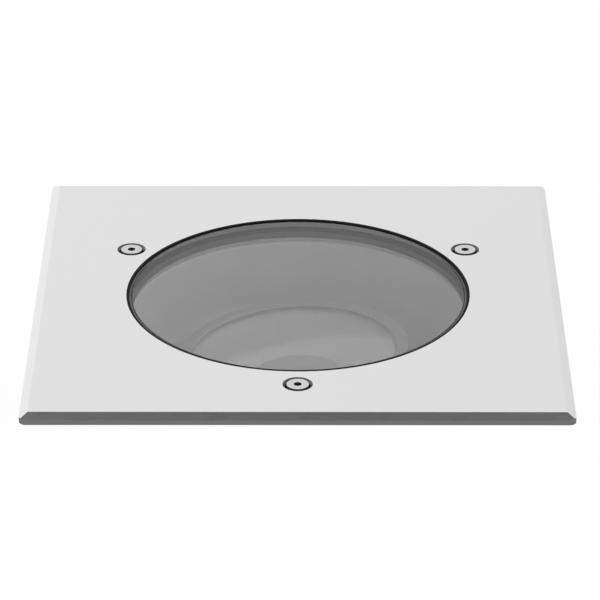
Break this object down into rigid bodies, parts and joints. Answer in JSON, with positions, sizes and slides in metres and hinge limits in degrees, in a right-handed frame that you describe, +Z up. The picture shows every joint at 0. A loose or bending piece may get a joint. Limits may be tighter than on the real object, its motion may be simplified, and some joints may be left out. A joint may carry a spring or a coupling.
{
  "type": "in-ground light",
  "caption": "Recessed in-ground light: square steel cover plate with a round walk-over glass, cast housing with a tilting lamp, in an installation pot.",
  "frame": {"origin": "centre of the cover plate, in the paving plane under its border", "axes": "+Z up out of the ground, +X to the right and +Y away from the screw at the front edge"},
  "size_m": [0.215, 0.215, 0.214],
  "materials": {
    "plate_steel": "fine brushed stainless steel",
    "walk_glass": "clear toughened glass with a ground edge",
    "seal_rubber": "matt black silicone rubber",
    "collar_paint": "matt black coated steel",
    "screw_steel": "bright stainless steel",
    "washer_plastic": "natural nylon",
    "insert_brass": "plain brass",
    "housing_casting": "grey coated die casting",
    "bowl_paint": "satin light grey paint",
    "strap_steel": "zinc plated strip",
    "pot_plastic": "black moulded plastic",
    "grommet_rubber": "black rubber",
    "gland_plastic": "dark grey moulded nylon",
    "terminal_plastic": "white moulded nylon",
    "holder_ceramic": "glazed white ceramic",
    "bezel_paint": "satin grey paint",
    "lens_glass": "clear glass",
    "dish_aluminium": "satin anodised aluminium",
    "led_plastic": "grey moulded plastic",
    "board_aluminium": "plain aluminium board",
    "emitter": "frosted silicone cap",
    "sink_casting": "die cast aluminium",
    "neck_plastic": "white moulded plastic",
    "cap_nickel": "nickel plated screw cap"
  },
  "bodies": {
    "housing": {"installation_pot": "pot_plastic", "pot_floor": "pot_plastic", "pot_spouts": "pot_plastic", "pot_inserts": "insert_brass", "conduit_grommets": "grommet_rubber", "lamp_housing": "housing_casting", "housing_wall": "housing_casting", "housing_flange": "housing_casting", "housing_fins": "housing_casting", "cover_screw_inserts": "insert_brass", "housing_screws": "screw_steel", "flange_gasket": "seal_rubber", "reflector_bowl": "bowl_paint", "tilt_bracket": "strap_steel", "bracket_screws": "screw_steel", "pivot_screws": "screw_steel", "pivot_washers": "washer_plastic", "pivot_nuts": "screw_steel", "terminal_block": "terminal_plastic", "terminal_tubes": "insert_brass", "terminal_screws": "screw_steel", "earth_screw": "screw_steel", "gland_bodies": "gland_plastic", "gland_seals": "grommet_rubber", "gland_nuts": "gland_plastic"},
    "cover": {"cover_plate": "plate_steel", "glass_collar": "collar_paint", "glass_seal": "seal_rubber", "glass": "walk_glass"},
    "lamp": {"tilt_cradle": "strap_steel", "lamp_holder": "holder_ceramic", "holder_shell": "insert_brass", "holder_contact": "insert_brass", "holder_screws": "screw_steel", "lamp_bezel": "bezel_paint", "lamp_lens": "lens_glass", "lamp_reflector": "dish_aluminium", "led_holder": "led_plastic", "led_board": "board_aluminium", "led_emitter": "emitter", "lamp_heat_sink": "sink_casting", "lamp_neck": "neck_plastic", "lamp_cap": "cap_nickel", "lamp_contact": "insert_brass"},
    "washer_front": {"retaining_washer_front": "washer_plastic"},
    "screw_front": {"cover_screw_front": "screw_steel"},
    "washer_right": {"retaining_washer_right": "washer_plastic"},
    "screw_right": {"cover_screw_right": "screw_steel"},
    "washer_left": {"retaining_washer_left": "washer_plastic"},
    "screw_left": {"cover_screw_left": "screw_steel"}
  },
  "joints": [
    {"name": "cover_lift", "type": "slide", "parent": "housing", "child": "cover", "axis": [0, 0, 1], "range_m": [0, 0.06]},
    {"name": "lamp_tilt", "type": "hinge", "parent": "housing", "child": "lamp", "pos_m": [0, 0, -0.06], "axis": [0, 1, 0], "range_deg": [-5.5, 14.5]},
    {"name": "screw_front_rise", "type": "slide", "parent": "cover", "child": "washer_front", "axis": [0, 0, 1], "range_m": [0, 0.008]},
    {"name": "screw_front_turn", "type": "hinge", "parent": "washer_front", "child": "screw_front", "pos_m": [0, -0.081, 0], "axis": [0, 0, 1], "range_deg": [0, 3600]},
    {"name": "screw_right_rise", "type": "slide", "parent": "cover", "child": "washer_right", "axis": [0, 0, 1], "range_m": [0, 0.008]},
    {"name": "screw_right_turn", "type": "hinge", "parent": "washer_right", "child": "screw_right", "pos_m": [0.07014, 0.0405, 0], "axis": [0, 0, 1], "range_deg": [0, 3600]},
    {"name": "screw_left_rise", "type": "slide", "parent": "cover", "child": "washer_left", "axis": [0, 0, 1], "range_m": [0, 0.008]},
    {"name": "screw_left_turn", "type": "hinge", "parent": "washer_left", "child": "screw_left", "pos_m": [-0.07014, 0.0405, 0], "axis": [0, 0, 1], "range_deg": [0, 3600]}
  ],
  "couplings": [
    {"joint": "screw_front_turn", "follows": "screw_front_rise", "rad_per_m": 7854},
    {"joint": "screw_right_turn", "follows": "screw_right_rise", "rad_per_m": 7854},
    {"joint": "screw_left_turn", "follows": "screw_left_rise", "rad_per_m": 7854}
  ]
}
